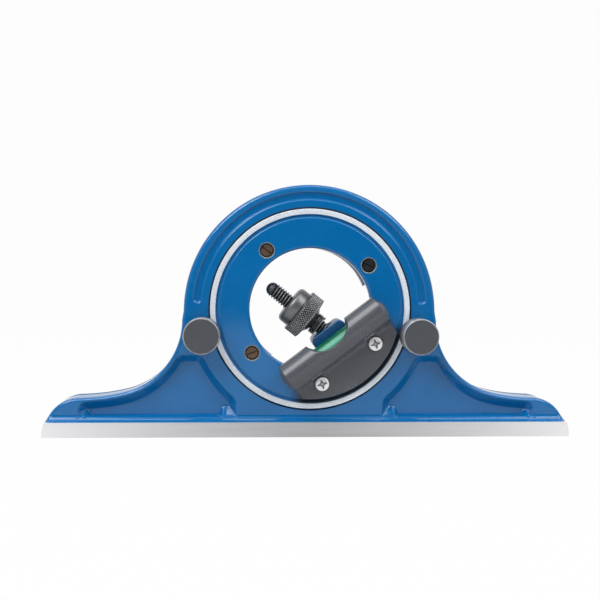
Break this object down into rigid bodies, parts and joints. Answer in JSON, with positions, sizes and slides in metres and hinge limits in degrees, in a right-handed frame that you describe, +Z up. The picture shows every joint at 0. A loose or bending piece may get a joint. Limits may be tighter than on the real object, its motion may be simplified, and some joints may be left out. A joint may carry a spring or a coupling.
{
  "type": "combination square protractor head",
  "caption": "Protractor head of a combination square: a base with an arch, a turning turret with a spirit level, and a knurled clamp nut for the rule.",
  "frame": {"origin": "middle of the ground base face", "axes": "+Z up from the base, +X along the base, -Y towards the level side, +Y towards the side that takes the rule"},
  "size_m": [0.178, 0.0255, 0.0851],
  "materials": {
    "protractor_body": "gloss enamel, bare ground base",
    "turret": "gloss enamel, bare turned ring",
    "dial_plate": "satin chrome",
    "dial_screw_top": "browned steel",
    "dial_screw_right": "browned steel",
    "dial_screw_left": "browned steel",
    "level_holder": "satin dark grey",
    "vial_glass": "clear",
    "vial_fluid": "clear green liquid",
    "vial_plug_upper": "satin dark grey",
    "vial_plug_lower": "satin dark grey",
    "level_screw_upper": "bright plated",
    "level_screw_lower": "bright plated",
    "draw_bolt": "black oxide",
    "clamp_nut": "black oxide",
    "clamp_spring": "black oxide",
    "lock_nut_left": "black oxide",
    "lock_nut_right": "black oxide",
    "lock_bolt_left": "plain steel",
    "lock_bolt_right": "plain steel"
  },
  "bodies": {
    "casting": {"protractor_body": "protractor_body"},
    "turning_turret": {"turret": "turret", "dial_plate": "dial_plate", "dial_screw_top": "dial_screw_top", "dial_screw_right": "dial_screw_right", "dial_screw_left": "dial_screw_left", "level_holder": "level_holder", "vial_glass": "vial_glass", "vial_fluid": "vial_fluid", "vial_plug_upper": "vial_plug_upper", "vial_plug_lower": "vial_plug_lower", "level_screw_upper": "level_screw_upper", "level_screw_lower": "level_screw_lower"},
    "swinging_spring": {"clamp_spring": "clamp_spring"},
    "drawing_bolt": {"draw_bolt": "draw_bolt"},
    "turning_nut": {"clamp_nut": "clamp_nut"},
    "left_lock_nut": {"lock_nut_left": "lock_nut_left"},
    "right_lock_nut": {"lock_nut_right": "lock_nut_right"},
    "left_lock_bolt": {"lock_bolt_left": "lock_bolt_left"},
    "right_lock_bolt": {"lock_bolt_right": "lock_bolt_right"}
  },
  "joints": [
    {"name": "turret_turn", "type": "hinge", "parent": "casting", "child": "turning_turret", "pos_m": [0, 0, 0.043], "axis": [0, 1, 0], "continuous": true},
    {"name": "bolt_swing", "type": "hinge", "parent": "turning_turret", "child": "swinging_spring", "pos_m": [0.00671, 0.0015, 0.03416], "axis": [0, 1, 0], "range_deg": [0, 28.8]},
    {"name": "nut_turn", "type": "hinge", "parent": "swinging_spring", "child": "turning_nut", "pos_m": [0.00671, 0.0015, 0.03416], "axis": [-0.7837, 0, 0.6211], "range_deg": [-540, 540]},
    {"name": "bolt_draw", "type": "slide", "parent": "swinging_spring", "child": "drawing_bolt", "axis": [-0.7837, 0, 0.6211], "range_m": [-0.0016, 0.0016]},
    {"name": "left_lock_turn", "type": "hinge", "parent": "casting", "child": "left_lock_nut", "pos_m": [-0.0364, 0, 0.0342], "axis": [0, -1, 0], "range_deg": [0, 360]},
    {"name": "left_lock_slide", "type": "slide", "parent": "casting", "child": "left_lock_bolt", "axis": [0, 1, 0], "range_m": [0, 0.0007]},
    {"name": "right_lock_turn", "type": "hinge", "parent": "casting", "child": "right_lock_nut", "pos_m": [0.0364, 0, 0.0342], "axis": [0, -1, 0], "range_deg": [0, 360]},
    {"name": "right_lock_slide", "type": "slide", "parent": "casting", "child": "right_lock_bolt", "axis": [0, 1, 0], "range_m": [0, 0.0007]}
  ],
  "couplings": [
    {"joint": "bolt_draw", "follows": "nut_turn", "m_per_rad": -0.00016838},
    {"joint": "left_lock_slide", "follows": "left_lock_turn", "m_per_rad": 0.0001114},
    {"joint": "right_lock_slide", "follows": "right_lock_turn", "m_per_rad": 0.0001114}
  ]
}
